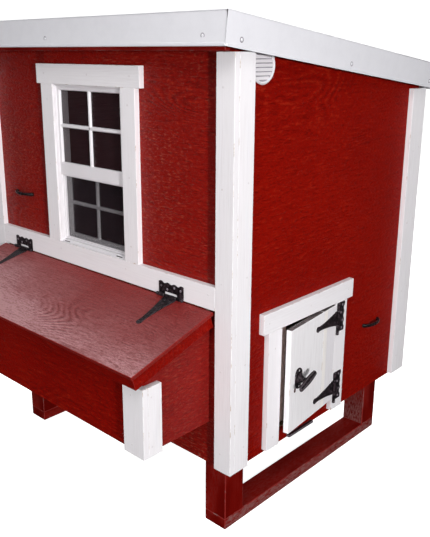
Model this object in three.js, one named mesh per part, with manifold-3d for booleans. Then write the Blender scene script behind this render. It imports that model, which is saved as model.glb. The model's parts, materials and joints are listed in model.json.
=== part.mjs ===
// A small raised chicken coop: a red panelled hen house on four legs and two skids, with a shed
// roof, white trim boards, a single-hung window, an outside nest box with a lift-up lid, and a
// small side door for the hens with a turn latch.
//
// Millimetres, +Z up. The front wall, with the window and the nest box, faces -Y. The hens' door
// is in the right wall, which faces +X. While the parts are made, x = 0 is the middle of the
// body, y = 0 is the outer face of the front trim and z = 0 is the ground. The last lines move
// the origin to the middle of the whole coop's footprint.

import * as THREE from 'three';
import { mergeVertices } from 'three/addons/utils/BufferGeometryUtils.js';
import Module from 'manifold-3d';

const wasm = await Module();
wasm.setup();

// ---------- driving dimensions ----------

const HALF_WIDTH = 609.5;        // middle of the body to the outer face of the side trim
const DEPTH = 1040;              // front trim face to rear trim face
const BOARD = 19;                // thickness of every trim board
const PANEL = 12;                // thickness of wall panels
const CASING = 64;               // width of a trim board
const REAR_CASING = 90;          // width of the side boards at the rear corners

const WALL_BOTTOM = 250;
const TRIM_BOTTOM = 254.5;
const FLOOR_TOP = 302;
const FRONT_TRIM_TOP = 1462;
const REAR_TRIM_TOP = 1337;

const LEG = 86;                  // square posts
const SKID_HEIGHT = 38;
const LEG_INSET = 70;            // from the side trim to the legs
const SKID_FRONT = 61;
const SKID_BACK = 961;
const JOIST_WIDTH = 89;
const JOIST_HEIGHT = 38;

const ROOF_TOP = 1561.5;         // top edge of the roof at the front
const ROOF_FALL = 0.1263;        // drop per millimetre towards the back
const ROOF_FRONT = -58.5;
const ROOF_BACK = 1080;
const SIDE_OVERHANG = 20;
const FASCIA_HEIGHT = 87;
const FASCIA = 19.5;             // thickness of the clad fascia boards
const SHEET = 1.5;               // roofing sheet
const DECK = 15;

const BAND_BOTTOM = 758;
const BAND_TOP = 828;

const WINDOW_X = -10;            // middle of the window
const WINDOW_HALF = 171.5;       // half the gap between the side casings
const HEAD_HALF = 258;
const HEAD_BOTTOM = 1359.5;
const FRAME_BAR = 7.5;
const FRAME_FRONT = 6;
const FRAME_BACK = 56;
const RAIL_BOTTOM = 1061.5;      // meeting rail of the window
const RAIL_TOP = 1099.5;
const MUNTIN = 12;
const SASH_FRONT = 32;
const SASH_BACK = 46;
const SASH_TOP = 1092;
const SASH_STILE = 20;
const GLASS = 3;

const NEST_HALF = 511;           // middle to the outer face of the nest's side panels
const NEST_FRONT = -243.5;
const NEST_BOTTOM = 393.5;
const NEST_FLOOR = 405;
const NEST_TRIM_TOP = 604.5;
const LID_HALF = 540.5;
const LID_BACK = [-1.5, 755.5];  // y and z of the lid's top back edge
const LID_LENGTH = 321.5;
const LID_PITCH = THREE.MathUtils.degToRad(17.1);
const LID_PANEL = 11;
const LID_LIP = 36;
const LIP_SETBACK = 4;

const HINGE_LENGTH = 104;        // along the pin
const HINGE_LEAF = 42;           // pin to the far edge of the leaf
const HINGE_STRAP = 141;         // pin to the tip of the strap
const HINGE_ROOT = 50;
const HINGE_PLATE = 2.5;
const PIN_OFFSET = 5;            // pin to the face that the hinge is screwed to
const KNUCKLE = 4.9;
const PIN = 2;
const PIN_HEAD = 10;             // how far the pin's head stands past one end of the leaf
const KNUCKLE_GAP = 0.5;

const DOORWAY = [235, 530];      // y range between the door casings
const DOORWAY_BOTTOM = 302.5;
const DOORWAY_TOP = 657.5;
const DOOR_HEAD = [144.5, 628.5];
const DOOR_PIN_Y = 536;
const DOOR_WIDTH = 297;          // pin to the free edge
const DOOR_HINGE_EDGE = 8;       // pin to the hinge edge, which clears the casing
const DOOR_BOTTOM = 306;
const DOOR_TOP = 653.5;
const DOOR_AJAR = THREE.MathUtils.degToRad(6);
const STOP_EDGE = 279;           // inner edge of the strip that the closed door meets
const LATCH_Y = -248;            // latch shaft, from the door's pin
const LATCH_Z = 481;
const LATCH_TILT = THREE.MathUtils.degToRad(16);
const SHAFT = 5;

const VENT = { y: 132.5, z: 1426.5, radius: 50, hole: 40 };
const FIT = 0.5;                 // clearance between neighbouring pieces

// ---------- materials ----------

const paint = (color, roughness, metalness = 0) =>
  new THREE.MeshStandardMaterial({ color, roughness, metalness });

const MATERIALS = {
  red: paint(0x84180f, 0.5),
  darkRed: paint(0x5c0f0c, 0.4),
  white: paint(0xe6e1e4, 0.55),
  vinyl: paint(0xeeeaec, 0.4),
  metal: paint(0xe4e2e6, 0.4, 0.3),
  black: paint(0x17151a, 0.45, 0.6),
  glass: paint(0x1d1215, 0.08),
  bareWood: paint(0x7a5a45, 0.8),
};

// ---------- shapes ----------

const coop = new THREE.Group();

function add(name, material, geometry, parent = coop) {
  const mesh = new THREE.Mesh(geometry, MATERIALS[material]);
  mesh.name = name;
  parent.add(mesh);
  return mesh;
}

function block([x0, x1], [y0, y1], [z0, z1]) {
  const geometry = new THREE.BoxGeometry(x1 - x0, y1 - y0, z1 - z0);
  return geometry.translate((x0 + x1) / 2, (y0 + y1) / 2, (z0 + z1) / 2);
}

const outline = (points) => new THREE.Shape(points.map(([a, b]) => new THREE.Vector2(a, b)));
const rectangle = ([a0, a1], [b0, b1]) => outline([[a0, b0], [a1, b0], [a1, b1], [a0, b1]]);

function disc(a, b, radius) {
  const shape = new THREE.Shape();
  shape.absarc(a, b, radius, 0, 2 * Math.PI);
  return shape;
}

const withHoles = (shape, ...holes) => {
  shape.holes.push(...holes);
  return shape;
};

const swept = (shape, depth, curveSegments = 12) =>
  new THREE.ExtrudeGeometry(shape, { depth, bevelEnabled: false, curveSegments });

// A shape drawn in (y, z), swept from x0 to x1.
function alongX(shape, [x0, x1], curveSegments) {
  const [x, y, z] = [[1, 0, 0], [0, 1, 0], [0, 0, 1]].map((v) => new THREE.Vector3(...v));
  const turn = new THREE.Matrix4().makeBasis(y, z, x);
  return swept(shape, x1 - x0, curveSegments).applyMatrix4(turn).translate(x0, 0, 0);
}

// A shape drawn in (x, z), swept from y0 to y1.
const alongY = (shape, [y0, y1], curveSegments) =>
  swept(shape, y1 - y0, curveSegments).rotateX(Math.PI / 2).translate(0, y1, 0);

// A shape drawn in (x, y), swept from z0 to z1.
const alongZ = (shape, [z0, z1], curveSegments) =>
  swept(shape, z1 - z0, curveSegments).translate(0, 0, z0);

function solid(geometry) {
  const bare = new THREE.BufferGeometry();
  bare.setAttribute('position', geometry.getAttribute('position'));
  bare.setIndex(geometry.getIndex());
  const merged = mergeVertices(bare, 1e-4);
  return new wasm.Manifold(new wasm.Mesh({
    numProp: 3,
    vertProperties: Float32Array.from(merged.getAttribute('position').array),
    triVerts: Uint32Array.from(merged.getIndex().array),
  }));
}

function joined(...geometries) {
  const whole = geometries.map(solid).reduce((sum, next) => sum.add(next));
  const { vertProperties, triVerts } = whole.getMesh();
  const geometry = new THREE.BufferGeometry();
  geometry.setAttribute('position', new THREE.BufferAttribute(vertProperties, 3));
  geometry.setIndex(new THREE.BufferAttribute(triVerts, 1));
  geometry.computeVertexNormals();
  return geometry;
}

// ---------- legs, skids and floor ----------

function makeBase() {
  const outer = HALF_WIDTH - LEG_INSET;
  for (const [side, x] of [['right', [outer - LEG, outer]], ['left', [-outer, LEG - outer]]]) {
    add(`skid_${side}`, 'darkRed', block(x, [SKID_FRONT, SKID_BACK], [0, SKID_HEIGHT]));
    const height = [SKID_HEIGHT, WALL_BOTTOM];
    add(`leg_front_${side}`, 'darkRed', block(x, [SKID_FRONT, SKID_FRONT + LEG], height));
    add(`leg_rear_${side}`, 'darkRed', block(x, [SKID_BACK - LEG, SKID_BACK], height));
  }
  const inside = [-HALF_WIDTH + BOARD + PANEL + FIT, HALF_WIDTH - BOARD - PANEL - FIT];
  const [front, back] = [BOARD + PANEL + FIT, DEPTH - BOARD - PANEL - FIT];
  const joist = [WALL_BOTTOM, WALL_BOTTOM + JOIST_HEIGHT];
  add('floor_platform', 'bareWood', joined(
    block(inside, [front, back], [joist[1], FLOOR_TOP]),
    block(inside, [front, front + JOIST_WIDTH], joist),
    block(inside, [back - JOIST_WIDTH, back], joist)));
  add('roost_bar', 'bareWood', block(inside, [680, 720], [700, 740]));
}

// ---------- walls ----------

const roofLine = (y) => ROOF_TOP - ROOF_FALL * (y - ROOF_FRONT);
const wallTop = (y) => roofLine(y) - SHEET - DECK - 1.5;

function sideWallOutline() {
  const [front, back] = [BOARD + PANEL, DEPTH - BOARD - PANEL];
  return outline([
    [front, WALL_BOTTOM], [back, WALL_BOTTOM], [back, wallTop(back)], [front, wallTop(front)],
  ]);
}

function makeWalls() {
  const across = [-HALF_WIDTH + BOARD, HALF_WIDTH - BOARD];
  const front = [BOARD, BOARD + PANEL];
  const rear = [DEPTH - BOARD - PANEL, DEPTH - BOARD];
  const windowHole = rectangle(
    [WINDOW_X - WINDOW_HALF, WINDOW_X + WINDOW_HALF], [BAND_TOP, HEAD_BOTTOM]);
  const nestHole = rectangle([-NEST_HALF + 30, NEST_HALF - 30], [NEST_FLOOR + 60, BAND_BOTTOM - 62]);
  const frontWall = rectangle(across, [WALL_BOTTOM, wallTop(front[1])]);
  add('front_wall', 'red', alongY(withHoles(frontWall, windowHole, nestHole), front));
  add('rear_wall', 'red', block(across, rear, [WALL_BOTTOM, wallTop(rear[1])]));
  const doorway = rectangle(DOORWAY, [DOORWAY_BOTTOM, DOORWAY_TOP]);
  const right = [across[1] - PANEL, across[1]];
  const rightWall = withHoles(sideWallOutline(), doorway, disc(VENT.y, VENT.z, VENT.hole));
  add('right_wall', 'red', alongX(rightWall, right));
  add('left_wall', 'red', alongX(sideWallOutline(), [across[0], across[0] + PANEL]));
}

// ---------- white trim on the body ----------

function makeCornerTrim() {
  const x = HALF_WIDTH;
  const sideEdge = BOARD + CASING - 1;
  for (const [side, sign] of [['right', 1], ['left', -1]]) {
    const front = [
      [x - CASING, 0], [x, 0], [x, sideEdge], [x - BOARD, sideEdge],
      [x - BOARD, BOARD], [x - CASING, BOARD],
    ];
    const rear = [
      [x, DEPTH - REAR_CASING], [x, DEPTH], [x - BOARD - CASING, DEPTH],
      [x - BOARD - CASING, DEPTH - BOARD], [x - BOARD, DEPTH - BOARD],
      [x - BOARD, DEPTH - REAR_CASING],
    ];
    const drawn = (points) => outline(points.map(([a, b]) => [sign * a, b]));
    add(`corner_trim_front_${side}`, 'white', alongZ(drawn(front), [TRIM_BOTTOM, FRONT_TRIM_TOP]));
    add(`corner_trim_rear_${side}`, 'white', alongZ(drawn(rear), [TRIM_BOTTOM, REAR_TRIM_TOP]));
  }
}

function makeFrontTrim() {
  const thick = [0, BOARD];
  const half = HALF_WIDTH - CASING - FIT;
  const [left, right] = [WINDOW_X - WINDOW_HALF, WINDOW_X + WINDOW_HALF];
  add('belly_band', 'white', block([-half, half], thick, [BAND_BOTTOM, BAND_TOP]));
  add('window_head_trim', 'white',
    block([WINDOW_X - HEAD_HALF, WINDOW_X + HEAD_HALF], thick, [HEAD_BOTTOM, HEAD_BOTTOM + CASING]));
  add('window_trim_left', 'white', block([left - CASING, left], thick, [BAND_TOP, HEAD_BOTTOM]));
  add('window_trim_right', 'white', block([right, right + CASING], thick, [BAND_TOP, HEAD_BOTTOM]));
}

// ---------- window ----------

function makeWindow() {
  const half = WINDOW_HALF - FIT;
  const [bottom, top] = [BAND_TOP + FIT, HEAD_BOTTOM - FIT];
  const clear = half - FRAME_BAR;
  const [sill, lintel] = [bottom + 9, top - FRAME_BAR];
  const x = (a, b) => [WINDOW_X + a, WINDOW_X + b];
  const ring = withHoles(rectangle(x(-half, half), [bottom, top]),
    rectangle(x(-clear, clear), [sill, lintel]));
  const middle = (RAIL_TOP + lintel) / 2;
  const depth = [FRAME_FRONT + 8, FRAME_FRONT + 16];
  add('window_frame', 'vinyl', joined(
    alongY(ring, [FRAME_FRONT, FRAME_BACK]),
    block(x(-clear - 1, clear + 1), [FRAME_FRONT + 8, FRAME_FRONT + 22], [RAIL_BOTTOM, RAIL_TOP]),
    block(x(-MUNTIN / 2, MUNTIN / 2), depth, [RAIL_TOP - 1, lintel + 1]),
    block(x(-clear - 1, clear + 1), depth, [middle - 5, middle + 5])));
  const pane = clear - FIT;
  const paneFront = depth[1] + FIT;
  add('window_glass_upper', 'glass',
    block(x(-pane, pane), [paneFront, paneFront + GLASS], [RAIL_TOP + FIT, lintel - FIT]));

  const sashBottom = sill + FIT;
  const inner = pane - SASH_STILE;
  const centre = (sashBottom + RAIL_BOTTOM) / 2 + 16;
  const opening = [sashBottom + SASH_STILE, SASH_TOP - SASH_STILE];
  const sashRing = withHoles(rectangle(x(-pane, pane), [sashBottom, SASH_TOP]),
    rectangle(x(-inner, inner), opening));
  const bars = [SASH_FRONT, SASH_BACK - 2 * GLASS];
  add('window_sash', 'vinyl', joined(
    alongY(sashRing, [SASH_FRONT, SASH_BACK]),
    block(x(-MUNTIN / 2, MUNTIN / 2), bars, [opening[0] - 1, opening[1] + 1]),
    block(x(-inner - 1, inner + 1), bars, [centre - MUNTIN / 2, centre + MUNTIN / 2])));
  const paneBack = bars[1] + FIT;
  add('window_glass_lower', 'glass',
    block(x(-inner + FIT, inner - FIT), [paneBack, paneBack + GLASS],
      [opening[0] + FIT, opening[1] - FIT]));
}

// ---------- roof ----------

// A board that follows the roof from y0 to y1, between two depths below the roof line.
const underRoof = ([y0, y1], [upper, lower], x) => alongX(outline([
  [y0, roofLine(y0) - lower], [y1, roofLine(y1) - lower],
  [y1, roofLine(y1) - upper], [y0, roofLine(y0) - upper],
]), x);

function makeRoof() {
  const edge = HALF_WIDTH + SIDE_OVERHANG;
  const body = [-HALF_WIDTH, HALF_WIDTH];
  const fascia = [SHEET + FIT, FASCIA_HEIGHT];
  const deckRange = [ROOF_FRONT + FASCIA + FIT, ROOF_BACK - FASCIA - FIT];
  add('roof_sheet', 'metal', underRoof([ROOF_FRONT, ROOF_BACK], [0, SHEET], [-edge, edge]));
  add('roof_deck', 'bareWood', underRoof(deckRange, [SHEET + FIT, SHEET + FIT + DECK], body));
  add('fascia_front', 'metal', underRoof([ROOF_FRONT, ROOF_FRONT + FASCIA], fascia, body));
  add('fascia_rear', 'metal', underRoof([ROOF_BACK - FASCIA, ROOF_BACK], fascia, body));
  for (const [side, x] of [['right', [edge - FASCIA, edge]], ['left', [-edge, FASCIA - edge]]]) {
    add(`fascia_${side}`, 'metal', underRoof([ROOF_FRONT, ROOF_BACK], fascia, x));
  }
  const eave = [deckRange[0], deckRange[0] + BOARD];
  add('eave_board', 'darkRed', block(body, eave, [1464.5, wallTop(eave[1])]));
}

// ---------- vent ----------

function makeVent() {
  const face = disc(VENT.y, VENT.z, VENT.radius);
  const slots = [-24, -14, -4, 6, 16, 26].map((rise) => {
    const reach = Math.sqrt((VENT.hole - 4) ** 2 - (Math.abs(rise) + 2) ** 2);
    return rectangle([VENT.y - reach, VENT.y + reach], [VENT.z + rise - 2, VENT.z + rise + 2]);
  });
  const wallFace = HALF_WIDTH - BOARD;
  add('vent', 'vinyl', alongX(withHoles(face, ...slots), [wallFace, wallFace + 6]));
}

// ---------- nest box ----------

const lidLine = (y) => LID_BACK[1] + Math.tan(LID_PITCH) * (y - LID_BACK[0]);
const nestTop = (y) => lidLine(y) - LID_PANEL / Math.cos(LID_PITCH) - 1;

function nestPartition(x, bottom, front) {
  return alongX(outline([
    [front, bottom], [BOARD, bottom], [BOARD, nestTop(BOARD)], [front, nestTop(front)],
  ]), x);
}

function makeNestBox() {
  const inner = NEST_FRONT + PANEL;
  add('nest_front', 'red',
    block([-NEST_HALF, NEST_HALF], [NEST_FRONT, inner], [NEST_BOTTOM, nestTop(NEST_FRONT)]));
  const rightSide = [NEST_HALF - PANEL, NEST_HALF];
  add('nest_side_right', 'red', nestPartition(rightSide, NEST_BOTTOM, inner));
  add('nest_side_left', 'red', nestPartition([-NEST_HALF, PANEL - NEST_HALF], NEST_BOTTOM, inner));
  const half = NEST_HALF - PANEL - FIT;
  add('nest_floor', 'bareWood',
    block([-half, half], [inner + FIT, BOARD], [NEST_FLOOR - PANEL, NEST_FLOOR]));
  for (const [side, x] of [['right', half / 3], ['left', -half / 3]]) {
    const thick = [x - PANEL / 2, x + PANEL / 2];
    add(`nest_divider_${side}`, 'bareWood', nestPartition(thick, NEST_FLOOR + FIT, inner + FIT));
  }
  const [x, y] = [NEST_HALF + BOARD, NEST_FRONT - BOARD];
  for (const [side, sign] of [['right', 1], ['left', -1]]) {
    const corner = [
      [x - BOARD - CASING, y], [x, y], [x, y + BOARD + CASING - 14],
      [x - BOARD, y + BOARD + CASING - 14], [x - BOARD, y + BOARD], [x - BOARD - CASING, y + BOARD],
    ].map(([a, b]) => [sign * a, b]);
    add(`nest_trim_${side}`, 'white', alongZ(outline(corner), [NEST_BOTTOM, NEST_TRIM_TOP]));
  }
}

// The lid's own frame: its pin is the origin, local -Y runs down the slope, +Z is out of the lid.
function makeLid() {
  const lid = new THREE.Group();
  const surface = lidLine(-PIN_OFFSET);
  lid.position.set(0, -PIN_OFFSET, surface + PIN_OFFSET / Math.cos(LID_PITCH));
  lid.rotation.x = LID_PITCH;
  coop.add(lid);
  const back = (LID_BACK[0] + PIN_OFFSET) * Math.cos(LID_PITCH)
    - (lid.position.z - LID_BACK[1]) * Math.sin(LID_PITCH);
  const front = back - LID_LENGTH;
  const top = -PIN_OFFSET;
  const under = top - LID_PANEL;
  add('nest_lid', 'red', block([-LID_HALF, LID_HALF], [front, back], [under, top]), lid);
  const half = LID_HALF - LIP_SETBACK;
  const lipFront = front + LIP_SETBACK;
  const ring = [
    [-half, lipFront], [half, lipFront], [half, back - 8], [half - BOARD, back - 8],
    [half - BOARD, lipFront + BOARD], [BOARD - half, lipFront + BOARD],
    [BOARD - half, back - 8], [-half, back - 8],
  ];
  add('nest_lid_lip', 'red', alongZ(outline(ring), [under - FIT - LID_LIP, under - FIT]), lid);
  return lid;
}

// ---------- hinges ----------

// Local frame of a tee hinge: X along the pin, Y out of the surface, the leaf towards +Z and the
// strap towards -Z. The board's face is at Y = -PIN_OFFSET.
function knuckle(x0, x1, radius, bore = 0) {
  const shape = disc(0, 0, radius);
  if (bore) {
    shape.holes.push(disc(0, 0, bore));
  }
  return alongX(shape, [x0, x1], 8);
}

// The pin's head is at the +X end where headEnd is 1, and at the -X end where it is -1.
function hingeLeaf(headEnd) {
  const half = HINGE_LENGTH / 2;
  const middle = HINGE_ROOT / 2;
  const [low, high] = headEnd > 0 ? [0, PIN_HEAD] : [PIN_HEAD, 0];
  return joined(
    block([-half, half], [-PIN_OFFSET, HINGE_PLATE - PIN_OFFSET], [KNUCKLE + 1, HINGE_LEAF]),
    block([-half, -middle - 1], [-PIN_OFFSET, HINGE_PLATE - PIN_OFFSET], [1, KNUCKLE + 2]),
    block([middle + 1, half], [-PIN_OFFSET, HINGE_PLATE - PIN_OFFSET], [1, KNUCKLE + 2]),
    knuckle(-half - low, -middle - 1, KNUCKLE),
    knuckle(middle + 1, half + high, KNUCKLE),
    knuckle(-middle - 2, middle + 2, PIN));
}

function hingeStrap() {
  const root = HINGE_ROOT / 2;
  const tip = 7;
  const shape = new THREE.Shape();
  shape.moveTo(-root, -3);
  shape.lineTo(-root + 4, -22);
  shape.lineTo(-tip, -HINGE_STRAP + 14);
  shape.absarc(0, -HINGE_STRAP + tip, tip, Math.PI, 2 * Math.PI);
  shape.lineTo(tip, -HINGE_STRAP + 14);
  shape.lineTo(root - 4, -22);
  shape.lineTo(root, -3);
  const low = 0.3 - PIN_OFFSET;
  return joined(
    alongY(shape, [low, low + HINGE_PLATE], 6),
    knuckle(-root, root, KNUCKLE, PIN + KNUCKLE_GAP));
}

function placeHinge(name, headEnd, strapParent, leafMatrix, strapMatrix) {
  const leaf = add(`${name}_leaf`, 'black', hingeLeaf(headEnd));
  leaf.applyMatrix4(leafMatrix);
  const strap = add(`${name}_strap`, 'black', hingeStrap(), strapParent);
  strap.applyMatrix4(strapMatrix);
}

const axes = (x, y, z) => new THREE.Matrix4().makeBasis(
  new THREE.Vector3(...x), new THREE.Vector3(...y), new THREE.Vector3(...z));

function makeLidHinges(lid) {
  for (const [side, x] of [['right', 371], ['left', -409]]) {
    const leaf = axes([-1, 0, 0], [0, -1, 0], [0, 0, 1]);
    leaf.setPosition(x, lid.position.y, lid.position.z);
    const strap = axes([-1, 0, 0], [0, 0, 1], [0, 1, 0]);
    strap.setPosition(x, 0, 0);
    placeHinge(`lid_hinge_${side}`, 1, lid, leaf, strap);
  }
}

// ---------- the hens' door ----------

function makeDoorTrim() {
  const thick = [HALF_WIDTH - BOARD, HALF_WIDTH];
  const jamb = [262.5, DOORWAY_TOP];
  const [near, far] = DOORWAY;
  add('door_head_trim', 'white', block(thick, DOOR_HEAD, [DOORWAY_TOP, DOORWAY_TOP + CASING]));
  add('door_trim_front', 'white', block(thick, [near - CASING, near], jamb));
  add('door_trim_rear', 'white', block(thick, [far, far + CASING], jamb));
  const panel = [thick[0] - PANEL, thick[0] - FIT];
  add('door_stop_strip', 'bareWood',
    block(panel, [near + FIT, STOP_EDGE], [DOORWAY_BOTTOM + 18, DOORWAY_TOP - FIT]));
  add('ramp_hanger', 'black', block([thick[0], thick[0] + 14], [299, 436], [251.5, 261.5]));
}

// The door's own frame: its pin is the origin, +X is out of the door, and the door runs to -Y.
function makeDoor() {
  const door = new THREE.Group();
  door.position.set(HALF_WIDTH + PIN_OFFSET, DOOR_PIN_Y, 0);
  door.rotation.z = DOOR_AJAR;
  coop.add(door);
  const panel = withHoles(rectangle([-DOOR_WIDTH, -DOOR_HINGE_EDGE], [DOOR_BOTTOM, DOOR_TOP]),
    disc(LATCH_Y, LATCH_Z, SHAFT + 1));
  add('pop_door', 'white', alongX(panel, [-PIN_OFFSET - BOARD, -PIN_OFFSET], 10), door);
  for (const [place, z] of [['upper', 604.5], ['lower', 351.5]]) {
    const leaf = axes([0, 0, 1], [1, 0, 0], [0, 1, 0]).setPosition(door.position.x, DOOR_PIN_Y, z);
    const strap = axes([0, 0, 1], [1, 0, 0], [0, 1, 0]).setPosition(0, 0, z);
    placeHinge(`door_hinge_${place}`, -1, door, leaf, strap);
  }
  return door;
}

function makeLatch(door) {
  const face = -PIN_OFFSET;
  const plate = withHoles(rectangle([LATCH_Y - 20, LATCH_Y + 20], [LATCH_Z - 34, LATCH_Z + 34]),
    disc(LATCH_Y, LATCH_Z, SHAFT + 1));
  const collar = withHoles(disc(LATCH_Y, LATCH_Z, 11), disc(LATCH_Y, LATCH_Z, SHAFT + 1));
  add('latch_plate', 'black', joined(
    alongX(plate, [face + 0.3, face + 3], 10), alongX(collar, [face + 2, face + 9], 10)), door);

  const handle = new THREE.Group();
  handle.position.set(face, LATCH_Y, LATCH_Z);
  handle.rotation.x = LATCH_TILT;
  door.add(handle);
  const bar = outline([
    [-46, -6], [-14, -8.5], [14, -8.5], [46, -6], [46, 6], [14, 8.5], [-14, 8.5], [-46, 6],
  ]);
  const cam = new THREE.Shape();
  cam.moveTo(-6.5, 0);
  cam.absarc(0, -33.5, 6.5, Math.PI, 2 * Math.PI);
  cam.lineTo(6.5, 0);
  cam.absarc(0, 0, 6.5, 0, Math.PI);
  add('latch_handle', 'black', joined(
    alongX(disc(0, 0, SHAFT), [-35, 36], 10),
    alongX(bar, [31.5, 42.5]),
    alongX(cam, [-36, -32], 8)), handle);
}

// ---------- small bow handles on the walls ----------

// Drawn with x along the wall and y out of it.
function bowShape() {
  const [half, reach, thick] = [56, 26, 6];
  const shape = new THREE.Shape();
  shape.moveTo(-half, 0);
  shape.quadraticCurveTo(-half + 10, reach - 3, -half / 2, reach - 2);
  shape.lineTo(0, reach);
  shape.lineTo(half / 2, reach - 2);
  shape.quadraticCurveTo(half - 10, reach - 3, half, 0);
  shape.lineTo(half - 10, 0);
  shape.quadraticCurveTo(half - 16, reach - thick - 3, half / 2, reach - thick - 2);
  shape.lineTo(-half / 2, reach - thick - 2);
  shape.quadraticCurveTo(-half + 16, reach - thick - 3, -half + 10, 0);
  return shape;
}

function makeBowHandles() {
  const bow = () => alongZ(bowShape(), [-4, 4], 5);
  add('bow_handle_front', 'black', bow().rotateZ(Math.PI).translate(-412, BOARD, 964.5));
  add('bow_handle_side', 'black',
    bow().rotateZ(-Math.PI / 2).translate(HALF_WIDTH - BOARD, 792.5, 510.5));
}

// ---------- assembly ----------

makeBase();
makeWalls();
makeCornerTrim();
makeFrontTrim();
makeWindow();
makeRoof();
makeVent();
makeNestBox();
makeLidHinges(makeLid());
makeDoorTrim();
makeLatch(makeDoor());
makeBowHandles();

const extent = new THREE.Box3().setFromObject(coop, true);
const middle = extent.getCenter(new THREE.Vector3());
coop.position.set(-middle.x, -middle.y, -extent.min.z);

export default coop;
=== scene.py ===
"""Looks for a small red chicken coop with white trim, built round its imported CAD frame.

Shapes are in millimetres, in the frame of the coop, its door or its nest lid. In the coop's
frame x = 0 is the middle of the body, y = 0 is the face of the front trim and z = 0 is the ground.
"""

import json
import math

import bmesh
import bpy
from mathutils import Matrix, Vector


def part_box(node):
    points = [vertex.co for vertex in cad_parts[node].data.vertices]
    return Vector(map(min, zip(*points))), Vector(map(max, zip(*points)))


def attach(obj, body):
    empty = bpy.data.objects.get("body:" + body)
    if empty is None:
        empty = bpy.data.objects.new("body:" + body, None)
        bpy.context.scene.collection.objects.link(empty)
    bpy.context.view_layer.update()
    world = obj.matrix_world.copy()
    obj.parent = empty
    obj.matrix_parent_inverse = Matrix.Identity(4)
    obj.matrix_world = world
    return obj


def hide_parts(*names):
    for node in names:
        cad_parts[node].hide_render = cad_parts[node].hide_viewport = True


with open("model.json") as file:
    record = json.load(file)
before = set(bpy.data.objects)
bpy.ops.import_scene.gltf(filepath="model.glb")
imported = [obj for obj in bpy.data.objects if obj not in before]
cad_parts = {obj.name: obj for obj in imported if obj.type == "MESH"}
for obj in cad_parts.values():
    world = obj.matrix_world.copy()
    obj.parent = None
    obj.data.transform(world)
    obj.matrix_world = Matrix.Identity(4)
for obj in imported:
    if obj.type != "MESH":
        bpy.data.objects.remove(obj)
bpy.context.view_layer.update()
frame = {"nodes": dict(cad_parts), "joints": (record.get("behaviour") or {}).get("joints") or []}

# ---------- sizes and frames ----------

MM = 0.001
BOARD = 19
CASING = 64
REAR_CASING = 90
HALF_WIDTH = 609.5
DEPTH = 1040
TRIM_BOTTOM = 254.5
FRONT_TRIM_TOP = 1462
REAR_TRIM_TOP = 1337
ROOF_TOP = 1561.5
ROOF_FALL = 0.1263
ROOF_FRONT = -58.5
ROOF_BACK = 1080
ROOF_HALF = 629.5
FASCIA_HEIGHT = 87
FASCIA = 19.5
SHEET = 1.5
BAND = (758, 828)
WINDOW_X = -10
WINDOW_HALF = 171
WINDOW_CLEAR = 163.5
WINDOW_BOTTOM = 828.5
WINDOW_TOP = 1359
SILL = 837.5
LINTEL = 1351.5
RAIL = (1061.5, 1099.5)
NEST_HALF = 511
NEST_FRONT = -243.5
NEST_BOTTOM = 393.5
NEST_TRIM_TOP = 604.5
LID_PITCH = math.radians(17.1)
PIN_OFFSET = 5
DOOR_WIDTH = 296
DOOR_BOTTOM = 306
DOOR_TOP = 653
DOOR_HINGE_EDGE = 8
DOOR_HINGES = (604.5, 351.5)
LID_HINGES = (371, -409)
LATCH_Y = -248
LATCH_Z = 481
LATCH_TILT = math.radians(16)

MIDDLE_X = (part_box("skid_left")[0].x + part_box("skid_right")[1].x) / 2
TRIM_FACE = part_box("belly_band")[0].y
COOP = Matrix.Translation((MIDDLE_X, TRIM_FACE, 0)) @ Matrix.Scale(MM, 4)
SKID_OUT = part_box("skid_right")[1].x - MIDDLE_X
REAR_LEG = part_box("leg_rear_right")[0].y
JOINTS = {joint["name"]: joint for joint in frame["joints"]}
DOOR_AJAR = -math.radians(JOINTS["pop_door_hinge"]["range_deg"][0])


def at_joint(name, turn, keep_z):
    x, y, z = JOINTS[name]["pos_m"]
    place = Matrix.Translation((x, y, z if keep_z else 0))
    return place @ turn @ Matrix.Scale(MM, 4)


# The door's frame has its pin on the z axis, +X out of the door and the door running to -Y. The
# lid's frame has its pin on the x axis, +Z out of the lid and the lid running down to -Y.
DOOR = at_joint("pop_door_hinge", Matrix.Rotation(DOOR_AJAR, 4, "Z"), False)
DOOR_POST = at_joint("pop_door_hinge", Matrix.Identity(4), False)
LID = at_joint("nest_lid_hinge", Matrix.Rotation(LID_PITCH, 4, "X"), True)
LID_WALL = at_joint("nest_lid_hinge", Matrix.Identity(4), True)


def roof_line(y):
    return ROOF_TOP - ROOF_FALL * (y - ROOF_FRONT)


# ---------- materials ----------

RED = (0.248, 0.0034, 0.0006, 1)
DEEP_RED = (0.20, 0.0022, 0.0004, 1)
# Crest red and groove red paint highlight on the crests and shade in the grooves of the siding's embossing.
CREST_HIGHLIGHT_RED = (0.39, 0.024, 0.008, 1)
GROOVE_SHADE_RED = (0.075, 0.0008, 0.0005, 1)
# A pale pink for chalky paint, and for the painted sheen on the lid's top.
PALE_CHALK_SHEEN = (0.62, 0.33, 0.345, 1)
GLINT = (0.52, 0.18, 0.11, 1)
IRON_WORN = (0.10, 0.08, 0.092, 1)
SKID_RED = (0.225, 0.0045, 0.0018, 1)
SKID_DARK = (0.115, 0.002, 0.001, 1)
SKID_SCUFF = (0.235, 0.10, 0.095, 1)
WHITE = (0.86, 0.83, 0.855, 1)
WHITE_STREAK = (0.74, 0.70, 0.72, 1)
TAN = (0.50, 0.36, 0.27, 1)
WOOD = (0.27, 0.17, 0.11, 1)
WOOD_DARK = (0.13, 0.075, 0.05, 1)
VINYL = (0.81, 0.78, 0.81, 1)
METAL = (0.77, 0.76, 0.80, 1)
METAL_SHADE = (0.71, 0.70, 0.74, 1)
BLACK = (0.004, 0.003, 0.004, 1)
BLACK_RUB = (0.042, 0.028, 0.034, 1)
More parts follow.
